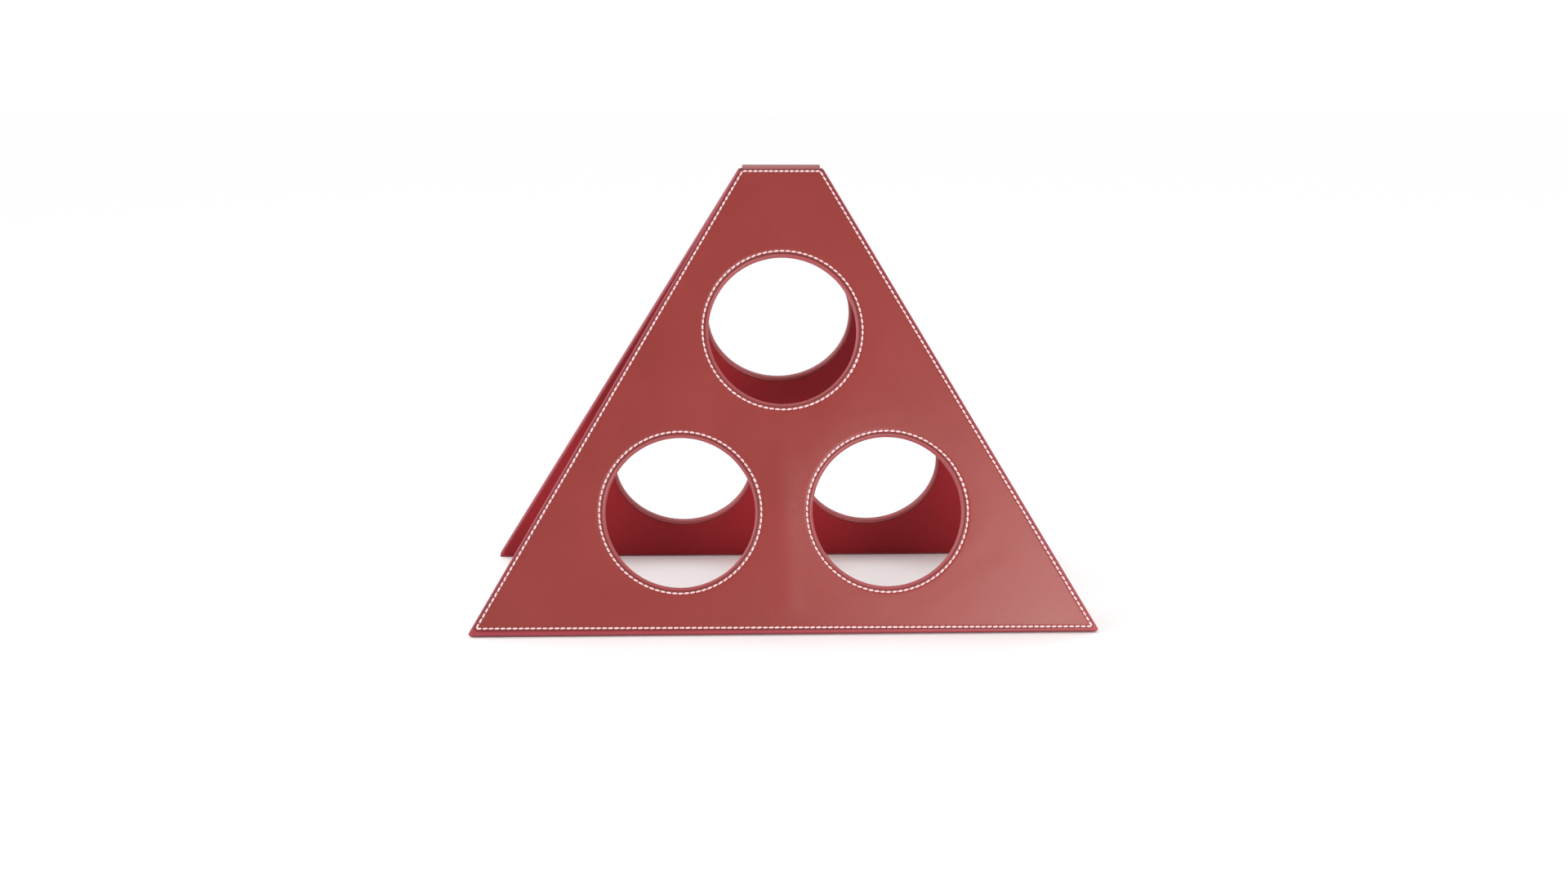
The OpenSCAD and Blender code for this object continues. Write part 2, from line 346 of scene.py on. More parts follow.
def outline_row(inset, slant, depth, counts):
    """One closed row of points, depth inside an outline, with counts[i] steps on side i."""
    c = corners(inset[0] + depth, inset[1] + depth, inset[2] + depth, slant)
    fillet = max(corner_r - depth, least_fillet)
    arcs = []
    for i in range(4):
        back = c[i - 1] - c[i]
        onwards = c[(i + 1) % 4] - c[i]
        back /= np.linalg.norm(back)
        onwards /= np.linalg.norm(onwards)
        half = math.acos(np.clip(back @ onwards, -1, 1)) / 2
        middle = c[i] + (back + onwards) / np.linalg.norm(back + onwards) * fillet / math.sin(half)
        first = c[i] + back * fillet / math.tan(half) - middle
        turn = math.pi - 2 * half
        angles = math.atan2(first[1], first[0]) + turn * np.linspace(0, 1, corner_steps)
        arcs.append(middle + fillet * np.stack([np.cos(angles), np.sin(angles)], axis=1))
    row = []
    for i in range(4):
        row.extend(arcs[i])
        share = np.arange(1, counts[i])[:, None] / counts[i]
        row.extend(arcs[i][-1] * (1 - share) + arcs[(i + 1) % 4][0] * share)
    return np.array(row)


def ring_row(centre, radius, count):
    """One closed round row of points."""
    a = np.arange(count) * 2 * math.pi / count
    return np.stack([centre[0] + radius * np.cos(a), centre[1] + radius * np.sin(a)], axis=1)


print("outline corners:", corners(0, 0, 0).round(1).tolist())

# %% [markdown]
# Thread pulls leather down. Each seam lies in a shallow dip, and at every needle hole the leather is pinched
# a little deeper, so the stitches are counted before the skins are shaped. Away from the seams, the skin
# swells softly and has the slow unevenness of hide glued over a board. A bump map could shade all this, but
# the thread needs real dips to lie in.

# %% Shape of the skins' surface
cover_inset = (1.5, 2.4, 0.0)  # at the sides, foot and top
cover_slant = 0.8
cover_gap = 0.2  # from a hole's lip to the cover
cover_hole_r = hole_r + lip_r + cover_gap
edge_margin = 1.2  # from the cover's edge to the seam
hole_margin = 1.6  # from the cover's hole to the seam
stitch_pitch = 3.5
top_pitch = 3.2
edge_pitches = (stitch_pitch, stitch_pitch, top_pitch, stitch_pitch)
seam_corners = corners(*(inset + edge_margin for inset in cover_inset), cover_slant)
seam_runs = [float(np.linalg.norm(seam_corners[(i + 1) % 4] - seam_corners[i])) for i in range(4)]
edge_stitches = [round(run / pitch) for run, pitch in zip(seam_runs, edge_pitches)]
seam_r = cover_hole_r + hole_margin
hole_stitches = round(2 * math.pi * seam_r / stitch_pitch)
swell_span = 62.0
swell_h = 0.2
dimple_span = 19.0
dimple_h = 0.05
dimple_seed = 7  # added to a skin's own seed
ridge_line = ((2, 18), (-1, 105))
ridge_h = 0.4
dip_line = ((122, 48), (66, 18))
dip_h = 0.25
crease_w = 7.0
puffed_h = 0.25  # glue and hide lift the whole face by this
flat_rim = 4.5  # the hide lies flat this near to a rim
full_swell = 14.0


def smooth(x, low, high):
    """0 below low, 1 above high and an even rise between."""
    t = np.clip((np.asarray(x, float) - low) / (high - low), 0, 1)
    return t * t * (3 - 2 * t)


def rim_distance(xv):
    """Distance from each point to the nearest edge of the panel or rim of a hole."""
    x = np.abs(xv[:, 0])
    v = xv[:, 1]
    side = (half_width(v, 0) - x) * math.sin(edge_angle)
    near = np.minimum(np.minimum(side, v), panel_height - v)
    for centre in holes.values():
        near = np.minimum(near, np.hypot(xv[:, 0] - centre[0], v - centre[1]) - hole_r)
    return near


def crease(xv, start, end):
    """1 on the line from start to end and falling off softly beside it."""
    start = np.array(start)
    run = np.array(end) - start
    share = np.clip((xv - start) @ run / (run @ run), 0, 1)
    gap = np.linalg.norm(xv - start - share[:, None] * run, axis=1)
    return np.exp(-(gap / crease_w) ** 2)


def lumps(xv, span, seed):
    """Smooth noise over the panel, with lumps about as wide as span."""
    return np.array([noise.noise(Vector((x / span, v / span, seed))) for x, v in xv])


def hide_relief(xv, seed):
    """Unevenness of glued hide, in mm: swells, small dimples, a ridge up the middle and a slanting dip."""
    swells = swell_h * lumps(xv, swell_span, seed) + dimple_h * lumps(xv, dimple_span, seed + dimple_seed)
    rise = swells + ridge_h * crease(xv, *ridge_line) - dip_h * crease(xv, *dip_line) + puffed_h
    return rise * smooth(rim_distance(xv), flat_rim, full_swell)


print("stitches along the edges:", edge_stitches, "and round a hole:", hole_stitches)

# %% [markdown]
# One function makes both kinds of skin. It takes the rows of the rim as depth from the edge, height above
# the board and dye, fills the middle, and closes the underside. The triangulation spans the whole outline,
# so triangles with all their corners on one hole's rim are left out again.

# %% Build a skin
every_triangle = 0  # the triangulation's output type
merge_within = 1e-7
least_area = 1e-9
grid_foot = 2.0  # height of the grid's first row
row_ratio = 0.866  # height of an even triangle
keep_off = 0.6  # share of the spacing between the grid and a rim's last row


def fill_between(loops, extra):
    """Triangulates the panel between closed loops and through extra points, and leaves the holes open."""
    points = np.vstack([*loops, extra])
    edges = []
    owner = np.zeros(len(points), int)
    start = 0
    for index, loop in enumerate(loops):
        n = len(loop)
        edges.extend((start + i, start + (i + 1) % n) for i in range(n))
        owner[start:start + n] = index
        start += n
    made = delaunay_2d_cdt([Vector(p) for p in points], edges, [], every_triangle, merge_within)
    _, _, triangles, sources, _, _ = made
    tris = np.array([[sources[i][0] for i in triangle] for triangle in triangles])
    a, b, c = points[tris[:, 0]], points[tris[:, 1]], points[tris[:, 2]]
    area = (b[:, 0] - a[:, 0]) * (c[:, 1] - a[:, 1]) - (b[:, 1] - a[:, 1]) * (c[:, 0] - a[:, 0])
    tris[area < 0] = tris[area < 0][:, ::-1]
    own = owner[tris]
    in_hole = (own[:, 0] > 0) & (own[:, 0] == own[:, 1]) & (own[:, 1] == own[:, 2])
    return tris[(np.abs(area) > least_area) & ~in_hole]


def inner_grid(spacing, edge_depth, hole_depth):
    """Points of an even triangular grid that keep clear of the last rows of the edge and holes."""
    xs = np.arange(-base_width / 2, base_width / 2, spacing)
    grid = []
    for k, v in enumerate(np.arange(grid_foot, panel_height, spacing * row_ratio)):
        grid.extend((x + (k % 2) * spacing / 2, v) for x in xs)
    grid = np.array(grid)
    grid = grid[rim_distance(grid) > edge_depth + spacing * keep_off]
    hole_gap = np.min([np.hypot(grid[:, 0] - c[0], grid[:, 1] - c[1]) for c in holes.values()], axis=0)
    return grid[hole_gap > hole_depth + spacing * keep_off]


def skin(inset, slant, hole_radius, edge_rows, hole_rows, base, sign, counts, hole_count, dip, seed, spacing):
    """Vertices (x, v, w), faces, and the numbers for edge paint and painted shade of a skin. sign is 1 for an
    outer skin and -1 for an inner one.
    """
    verts = []
    faces = []
    dye_and_shade = []
    first_loops = []
    last_loops = []
    first_index = []
    last_index = []

    def add_rows(rows, make_row, phase, margin, reverse):
        """Adds one rim, from the underside of its cut edge inwards, and the quads between its rows."""
        starts = []
        for depth, height, paint_and_shade in rows:
            xv = make_row(depth)
            h = height - dip(depth - margin, phase) + hide_relief(xv, seed)
            starts.append(sum(len(block) for block in verts))
            verts.append(np.column_stack([xv, base + sign * h]))
            dye_and_shade.append(np.full(len(xv), paint_and_shade))
        n = len(xv)
        i = np.arange(n)
        j = (i + 1) % n
        for lower, upper in zip(starts, starts[1:]):
            quad = np.stack([lower + i, lower + j, upper + j, upper + i], axis=1)
            faces.extend((quad[:, ::-1] if reverse else quad).tolist())
        first_loops.append(make_row(rows[0][0]))
        last_loops.append(make_row(rows[-1][0]))
        first_index.append(starts[0] + i)
        last_index.append(starts[-1] + i)

    edge_phase = np.concatenate([
        np.concatenate([np.zeros(corner_steps), np.arange(1, n) / n * edge_stitches[k]])
        for k, n in enumerate(counts)])
    add_rows(edge_rows, lambda d: outline_row(inset, slant, d, counts), edge_phase, edge_margin, False)
    hole_phase = np.arange(hole_count) / hole_count * hole_stitches
    for centre in holes.values():
        add_rows(hole_rows, lambda d: ring_row(centre, hole_radius + d, hole_count), hole_phase,
                 hole_margin, True)

    grid = inner_grid(spacing, edge_rows[-1][0] + inset[0], hole_radius + hole_rows[-1][0])
    inner = sum(len(block) for block in verts)
    verts.append(np.column_stack([grid, base + sign * (edge_rows[-1][1] + hide_relief(grid, seed))]))
    dye_and_shade.append(np.zeros(len(grid)))
    lookup = np.concatenate([*last_index, inner + np.arange(len(grid))])
    faces.extend(lookup[fill_between(last_loops, grid)].tolist())
    lookup = np.concatenate(first_index)
    faces.extend(lookup[fill_between(first_loops, np.zeros((0, 2)))[:, ::-1]].tolist())
    if sign < 0:
        faces = [f[::-1] for f in faces]
    return np.vstack(verts), faces, np.concatenate(dye_and_shade)


def leather_object(name, points, faces, material, dye_and_shade):
    """A smooth mesh object at the origin, from points in metres, that carries its numbers for edge paint and
    painted shade.
    """
    mesh = bpy.data.meshes.new(name)
    mesh.from_pydata(points.tolist(), [], faces)
    paint_and_shade = mesh.attributes.new("dye_and_shade", "FLOAT", "POINT")
    paint_and_shade.data.foreach_set("value", dye_and_shade.astype(np.float32))
    mesh.polygons.foreach_set("use_smooth", np.full(len(mesh.polygons), True))
    mesh.materials.append(material)
    mesh.update()
    obj = bpy.data.objects.new(name, mesh)
    bpy.context.collection.objects.link(obj)
    return obj


def piece(name, points, faces, material, panel, dye_and_shade=None):
    """A piece drawn on the flat panel and stood up. Without those numbers, none of it is painted dark."""
    if dye_and_shade is None:
        dye_and_shade = np.zeros(len(points))
    return leather_object(name, stand_up(points, panel), faces, material, dye_and_shade)


print("skins ready to build")

# %% [markdown]
# The outer cover is the piece everyone sees. Its rows start at the underside of the cut edge, climb the
# painted edge, round over, and dip under the seam, where the leather beside the thread gets a little painted
# shade. Four points per stitch let each needle hole pinch the leather separately.

# %% Outer covers
trough_depth = 0.30
trough_w = 0.75
pinch_depth = 0.28
pinch_w = 0.42
seam_painted_shade = 0.25  # painted shade beside the thread, in the seam's dip
seam_painted_shade_w = 0.7
points_per_stitch = 4
cover_spacing = 5.0


def thread_dip(gap, phase):
    """How far the leather is pulled down, gap away from the seam, deepest at the needle holes."""
    trough = trough_depth * math.exp(-(gap / trough_w) ** 2)
    pinch = pinch_depth * math.exp(-(gap / pinch_w) ** 2)
    return trough + pinch * (0.5 + 0.5 * np.cos(2 * math.pi * phase))


def cut_edge(thick):
    """Rows of a painted cut edge as (depth, height, dye), rounded at the top."""
    return [
        (0.10, 0.0, 1.0),
        (0.0, 0.22, 1.0),
        (0.0, thick - 0.45, 1.0),
        (0.10, thick - 0.18, 0.95),
        (0.32, thick - 0.04, 0.55),
        (0.55, thick, 0.2),
    ]


def sewn_edge(thick, margin):
    """Rows of a cut edge and of the seam beside it, closest where the thread pulls, with painted shade beside
    the thread.
    """
    gaps = (-0.4, -0.25, -0.1, 0.0, 0.1, 0.25, 0.5, 0.9, 1.7, 3.2)
    # beside the thread the rows get painted shade, mixed in with the dark edge colour
    seam = [(margin + g, thick, seam_painted_shade * math.exp(-(g / seam_painted_shade_w) ** 2)) for g in gaps]
    return cut_edge(thick) + seam


edge_counts = [points_per_stitch * n for n in edge_stitches]
cover_rows = sewn_edge(cover_t, edge_margin)
rim_rows = sewn_edge(cover_t, hole_margin)
for panel, seed in (("front", 3.0), ("back", 11.0)):
    points, faces, dye_and_shade = skin(
        inset=cover_inset, slant=cover_slant, hole_radius=cover_hole_r,
        edge_rows=cover_rows, hole_rows=rim_rows, base=board_t, sign=1,
        counts=edge_counts, hole_count=points_per_stitch * hole_stitches,
        dip=thread_dip, seed=seed, spacing=cover_spacing)
    cover = piece(f"{panel}_cover_leather", points, faces, cover_leather, panel, dye_and_shade)
    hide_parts(f"{panel}_cover")
    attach(cover, f"{panel}_panel")
    print(panel, "cover:", len(points), "points")

# %% [markdown]
# The lining is thinner, darker and plainer: it was glued on after sewing, so no thread comes through it. It
# stops short of the foot and side edges and of the holes, and only its own cut edge is rounded.

# %% Linings
lining_inset = (1.3, 2.0, 0.0)
lining_gap = 0.3  # from a hole's lip to the lining
lining_hole_r = hole_r + lip_r + lining_gap
lining_counts = [120, 105, 16, 105]
lining_hole_count = 144
lining_spacing = 6.0
lining_rows = [
    (0.05, 0.0, 0.8),
    (0.0, 0.2, 0.8),
    (0.0, 0.5, 0.6),
    (0.1, 0.72, 0.3),
    (0.3, lining_t, 0.0),
    (3.0, lining_t, 0.0),
]


def no_dip(gap, phase):
    """The lining has no seams."""
    return 0.0


for panel, seed in (("front", 21.0), ("back", 33.0)):
    points, faces, dye_and_shade = skin(
        inset=lining_inset, slant=0.0, hole_radius=lining_hole_r,
        edge_rows=lining_rows, hole_rows=lining_rows, base=0.0, sign=-1,
        counts=lining_counts, hole_count=lining_hole_count,
        dip=no_dip, seed=seed, spacing=lining_spacing)
    points[:, 2] = np.maximum(points[:, 2], -lining_t)
    lining = piece(f"{panel}_lining_leather", points, faces, inner_leather, panel, dye_and_shade)
    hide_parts(f"{panel}_lining")
    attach(lining, f"{panel}_panel")
    print(panel, "lining:", len(points), "points")

# %% [markdown]
# Bindings and hole liners are the same thing in two places: a strip of leather folded round the board's
# edge, with its flanges turned in under the skins. A bevelled curve could sweep it, but not with mitred ends,
# so the section is swept here: along a straight edge as a long prism, and round a hole as a lathe form.

# %% Section of a folded strip
round_steps = 9


def folded_strip(radius):
    """Closed outline of the strip as (inwards, w): rounded outside, square inside where the board sits."""
    a = np.linspace(0, math.pi / 2, round_steps)
    upper = np.stack([radius - radius * np.sin(a), board_t - radius + radius * np.cos(a)], axis=1)
    lower = np.stack([radius - radius * np.cos(a), radius - radius * np.sin(a)], axis=1)
    inside = np.array([
        (flange_w, strip_t),
        (strip_t, strip_t),
        (strip_t, board_t - strip_t),
        (flange_w, board_t - strip_t),
    ])
    return np.vstack([[(flange_w, board_t)], upper, lower, [(flange_w, 0.0)], inside])


def bridge(rows, count, closed):
    """Quads between rows of a swept section."""
    quads = []
    n = len(rows)
    for r in range(n if closed else n - 1):
        for k in range(count):
            a = rows[r] + k
            b = rows[r] + (k + 1) % count
            c = rows[(r + 1) % n] + (k + 1) % count
            d = rows[(r + 1) % n] + k
            quads.append((a, b, c, d))
    return quads


def capped(row_count, count):
    """Faces of a section of count points, swept through row_count rows and closed at both ends."""
    rows = [r * count for r in range(row_count)]
    faces = bridge(rows, count, False)
    faces.append(tuple(range(count))[::-1])
    faces.append(tuple(rows[-1] + k for k in range(count)))
    return faces


liner_section = folded_strip(lip_r)
binding_section = folded_strip(binding_r)
print("strip section has", len(liner_section), "points")

# %% [markdown]
# A liner is the section carried once round its hole. Leather that is rolled by hand is never perfectly
# round, so the lip swells and sinks by a few hundredths of a millimetre on the way.

# %% Hole liners
segments = 192
puff_h = 0.06
puff_lumps = 6
for panel in ("front", "back"):
    for side in ("left", "right", "top"):
        cx, cv = holes[own_side(panel, side)]
        points = []
        for s in range(segments):
            a = 2 * math.pi * s / segments
            puff = puff_h * noise.noise(Vector((puff_lumps * math.cos(a), puff_lumps * math.sin(a), cv)))
            r = hole_r + liner_section[:, 0] + puff * (liner_section[:, 0] < lip_r)
            points.append(np.column_stack([cx + r * math.cos(a), cv + r * math.sin(a), liner_section[:, 1]]))
        rows = [s * len(liner_section) for s in range(segments)]
        faces = [f[::-1] for f in bridge(rows, len(liner_section), True)]
        liner = piece(f"{panel}_{side}_hole_liner", np.vstack(points), faces, rolled_leather, panel)
        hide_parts(f"{panel}_{side}_liner")
        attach(liner, f"{panel}_panel")
print("hole liners:", 2 * len(holes))

# %% [markdown]
# A folded strip can't end in a needle point, so the foot corners are rounded. Points that would lie outside
# the rounding are pulled straight onto its arc, and the rows of points stand close together near the ends,
# where the arc needs them. At the top, the flanges make room for the pocket of the hinge's leaf.

# %% Edge bindings
pocket_gap = 0.2
pocket_half = hinge_w / 2 + pocket_gap
pocket_low = panel_height - leaf_len - pocket_gap
tip_r = 1.4  # rounding of the foot corners
near_end = np.arange(0.0, 3.3, 0.4)  # rows at each end, in mm from it
end_share = 0.012  # of an edge, before the even rows start
rows_between = 80
flange_ends = (0, len(binding_section) - 1)  # both end points of the outer flange
panel_corners = corners(0, 0, 0)
edge_index = {"foot": 0, "right": 1, "left": 3}  # sides of the outline, each from its own corner
foot_mitre = binding_section[:, 0] / math.tan(edge_angle / 2)
top_cut = -binding_section[:, 0] / math.tan(edge_angle)


def round_tips(spot):
    """Pulls points outside the rounded foot corners onto their arcs."""
    for turn in (-1.0, 1.0):
        middle = np.array([turn * (base_width / 2 - tip_r / math.tan(edge_angle / 2)), tip_r])
        to_tip = np.array([turn * math.cos(edge_angle / 2), -math.sin(edge_angle / 2)])
        out = spot - middle
        far = np.linalg.norm(out, axis=1)
        beyond = (far > tip_r) & (out @ to_tip > far * math.cos(math.pi / 2 - edge_angle / 2))
        spot[beyond] = middle + out[beyond] * (tip_r / far[beyond])[:, None]


for panel in ("front", "back"):
    for side in edge_index:
        index = edge_index[own_side(panel, side)]
        start = panel_corners[index]
        end = panel_corners[(index + 1) % 4]
        length = float(np.linalg.norm(end - start))
        along = (end - start) / length
        inwards = np.array([-along[1], along[0]])
        cut_first = foot_mitre if index in (0, 1) else top_cut
        cut_last = foot_mitre if index in (0, 3) else top_cut
        close = near_end / length
        between = np.linspace(end_share, 1.0 - end_share, rows_between)
        shares = np.concatenate([close, between, 1.0 - close[::-1]])
        points = []
        for share in shares:
            t = cut_first + (length - cut_last - cut_first) * share
            spot = start + np.outer(t, along) + np.outer(binding_section[:, 0], inwards)
            round_tips(spot)
            for k in flange_ends:
                if spot[k, 1] > pocket_low and abs(spot[k, 0]) < pocket_half:
                    spot[k, 0] = math.copysign(pocket_half, spot[k, 0])
            points.append(np.column_stack([spot, binding_section[:, 1]]))
        faces = capped(len(shares), len(binding_section))
        binding = piece(f"{panel}_{side}_edge_binding", np.vstack(points), faces, binding_leather, panel)
        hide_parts(f"{panel}_{side}_binding")
        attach(binding, f"{panel}_panel")
print("edge bindings:", 2 * len(edge_index))

# %% [markdown]
# The hinge is one strip of leather. A leaf of it is sewn under each cover, and the stretch between them
# arches over the top edges. It has to bend as the rack folds, but here it is one fine mesh, built in the
# standing pose.

# %% Hinge strip
arch_rise = 1.8
arch_share = 0.93  # of the arch's sweep, between the leaves' ends
arch_rows = 25
leaf_rows = 26
leaf_gap = 0.05  # between a leaf and its cover
leaf_above = 0.3  # how far a leaf runs straight above the panel
bend_above = 0.6  # where the arch would start
flat_half = 22.0  # half the width between the rounded rims
flat_steps = 9
rim_round = 0.25


def side_view(v, w):
    """Point of the standing front panel seen from the side, as (y, z) in mm."""
    return stand_up((0.0, v, w), "front")[0, 1:] / MM


half_t = strip_t / 2
leaf_w = board_t - half_t - leaf_gap
bend_at = side_view(panel_height + bend_above, leaf_w)
arch_r = (bend_at[0] ** 2 + arch_rise ** 2) / (2 * arch_rise)
arch_z = bend_at[1] + arch_rise - arch_r
sweep = math.asin(-bend_at[0] / arch_r)
leaf_heights = np.linspace(panel_height - leaf_len, panel_height + leaf_above, leaf_rows)
arch_angles = np.linspace(-arch_share, arch_share, arch_rows) * sweep
front_leaf = np.array([side_view(v, leaf_w) for v in leaf_heights])
arch = np.stack([arch_r * np.sin(arch_angles), arch_z + arch_r * np.cos(arch_angles)], axis=1)
spine = np.vstack([front_leaf, arch, front_leaf[::-1] * (-1.0, 1.0)])
tangent = np.gradient(spine, axis=0)
tangent /= np.linalg.norm(tangent, axis=1)[:, None]
normal = np.stack([-tangent[:, 1], tangent[:, 0]], axis=1)
rim = [
    (-hinge_w / 2 + rim_round, -half_t),
    (-hinge_w / 2, -half_t * 0.5),
    (-hinge_w / 2, half_t * 0.5),
    (-hinge_w / 2 + rim_round, half_t),
]
flat = np.linspace(-flat_half, flat_half, flat_steps)
section = np.array([
    *rim,
    *((x, half_t) for x in flat),
    *((-x, t) for x, t in rim[::-1]),
    *((x, -half_t) for x in flat[::-1]),
])
points = []
for spot, out in zip(spine, normal):
    points.append(np.column_stack([section[:, 0], spot + np.outer(section[:, 1], out)]))
hinge_paint = np.tile(np.abs(section[:, 0]) > hinge_w / 2 - rim_round / 2, len(spine))
hinge = leather_object("hinge_strip_leather", np.vstack(points) * MM, capped(len(spine), len(section)),
                       hinge_leather, hinge_paint)
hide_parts("hinge_strip")
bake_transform(hinge)

# %% [markdown]
# The seams are the rack's ornament: three hundred pale stitches round each panel and eighty-six round each
# hole. Thread is a soft twisted cord, so it is off-white, matt, and has a fine diagonal ply.

# %% Thread material
thread, thread_tree, thread_shader = new_material(
    "pale_thread", {"Specular IOR Level": 0.25, "Roughness": 0.75})
thread_where = add_node(thread_tree, "ShaderNodeTexCoord")
fuzz = add_node(thread_tree, "ShaderNodeTexNoise", {"Scale": 700.0})
pale = add_node(thread_tree, "ShaderNodeValToRGB")
pale.color_ramp.elements[0].position = 0.3
pale.color_ramp.elements[0].color = (0.76, 0.48, 0.50, 1.0)
pale.color_ramp.elements[1].position = 0.7
pale.color_ramp.elements[1].color = (0.95, 0.67, 0.69, 1.0)
ply = add_node(thread_tree, "ShaderNodeTexWave", {"Scale": 900.0}, bands_direction="DIAGONAL")
ply_bump = add_node(thread_tree, "ShaderNodeBump", {"Strength": 0.35, "Distance": 0.0001})
wire(
    thread_tree,
    (thread_where, "Object", fuzz, "Vector"),
    (thread_where, "Object", ply, "Vector"),
    (fuzz, "Fac", pale, "Fac"),
    (pale, "Color", thread_shader, "Base Color"),
    (ply, "Fac", ply_bump, "Height"),
    (ply_bump, "Normal", thread_shader, "Normal"),
)
print("thread material has", len(thread_tree.nodes), "nodes")

# %% [markdown]
# Geometry Nodes sew the seams. An Array on a curve could repeat a stitch too, but it wouldn't keep to the
# needle holes. Here the seam line is a chain of edges with a needle hole at every point, so each edge is one
# stitch. The tree bends a short cord between two holes, puts a copy on the middle of every edge, turns it
# along that edge and against the panel, slants it a little, and scales it to the edge's length.

# %% Geometry nodes: stitches on a chain of edges
stitch_span = 2.7  # length of the one cord that is copied
stitch_dip = -1.4  # heights are in widths of the thread
stitch_rise = 1.6
thread_end = 0.62  # thickness at a stitch's ends, as a share of its middle
random_min = 2  # the random node's float sockets have no names of their own
random_max = 3
random_value = 1
sew = bpy.data.node_groups.new("sew_stitches", "GeometryNodeTree")
sew.interface.new_socket("Geometry", in_out="INPUT", socket_type="NodeSocketGeometry")
for label, value in (("Thread Width", 0.00111), ("Reach", 0.88), ("Slant", 0.09), ("Slant Spread", 0.05)):
    socket = sew.interface.new_socket(label, in_out="INPUT", socket_type="NodeSocketFloat")
    socket.default_value = value
sew.interface.new_socket("Outward", in_out="INPUT", socket_type="NodeSocketVector")
seed_socket = sew.interface.new_socket("Seed", in_out="INPUT", socket_type="NodeSocketInt")
seed_socket.default_value = 5
sew.interface.new_socket("Thread", in_out="INPUT", socket_type="NodeSocketMaterial")
sew.interface.new_socket("Geometry", in_out="OUTPUT", socket_type="NodeSocketGeometry")
sew_in = add_node(sew, "NodeGroupInput")
sew_out = add_node(sew, "NodeGroupOutput")
ends = add_node(sew, "GeometryNodeInputMeshEdgeVertices")
run = add_node(sew, "ShaderNodeVectorMath", operation="SUBTRACT")
heft = add_node(sew, "GeometryNodeInputNamedAttribute", {"Name": "heft"}, data_type="FLOAT")
keep_run = add_node(sew, "GeometryNodeCaptureAttribute", domain="EDGE")
keep_run.capture_items.new("VECTOR", "Run")
keep_run.capture_items.new("FLOAT", "Heft")
spots = add_node(sew, "GeometryNodeMeshToPoints", mode="EDGES")
arc_line = add_node(sew, "GeometryNodeCurveQuadraticBezier", {
    "Resolution": 6,
    "Start": (-stitch_span / 2, 0.0, stitch_dip),
    "Middle": (0.0, 0.0, stitch_rise),
    "End": (stitch_span / 2, 0.0, stitch_dip),
})
along_stitch = add_node(sew, "GeometryNodeSplineParameter")
thickness = add_node(sew, "ShaderNodeFloatCurve")
thickness.mapping.curves[0].points[0].location = (0.0, thread_end)
thickness.mapping.curves[0].points[1].location = (1.0, thread_end)
thickness.mapping.curves[0].points.new(0.5, 1.0)
swollen = add_node(sew, "GeometryNodeSetCurveRadius")
round_section = add_node(sew, "GeometryNodeCurvePrimitiveCircle", {"Resolution": 7, "Radius": 0.5})
tube = add_node(sew, "GeometryNodeCurveToMesh", {"Fill Caps": True})
face_run = add_node(sew, "FunctionNodeAlignRotationToVector", axis="X")
face_out = add_node(sew, "FunctionNodeAlignRotationToVector", axis="Z", pivot_axis="X")
least_slant = add_node(sew, "ShaderNodeMath", operation="SUBTRACT")
most_slant = add_node(sew, "ShaderNodeMath", operation="ADD")
jitter = add_node(sew, "FunctionNodeRandomValue", data_type="FLOAT")
tilt = add_node(sew, "ShaderNodeCombineXYZ")
slanted = add_node(sew, "FunctionNodeRotateRotation", rotation_space="LOCAL")
run_length = add_node(sew, "ShaderNodeVectorMath", operation="LENGTH")
stitch_length = add_node(sew, "ShaderNodeMath", operation="MULTIPLY")
stretch = add_node(sew, "ShaderNodeMath", {1: stitch_span}, operation="DIVIDE")
stitch_width = add_node(sew, "ShaderNodeMath", operation="MULTIPLY")
flattened = add_node(sew, "ShaderNodeMath", {1: 0.8}, operation="MULTIPLY")
scale = add_node(sew, "ShaderNodeCombineXYZ")
copies = add_node(sew, "GeometryNodeInstanceOnPoints")
real = add_node(sew, "GeometryNodeRealizeInstances")
shade = add_node(sew, "GeometryNodeSetShadeSmooth")
coloured = add_node(sew, "GeometryNodeSetMaterial")
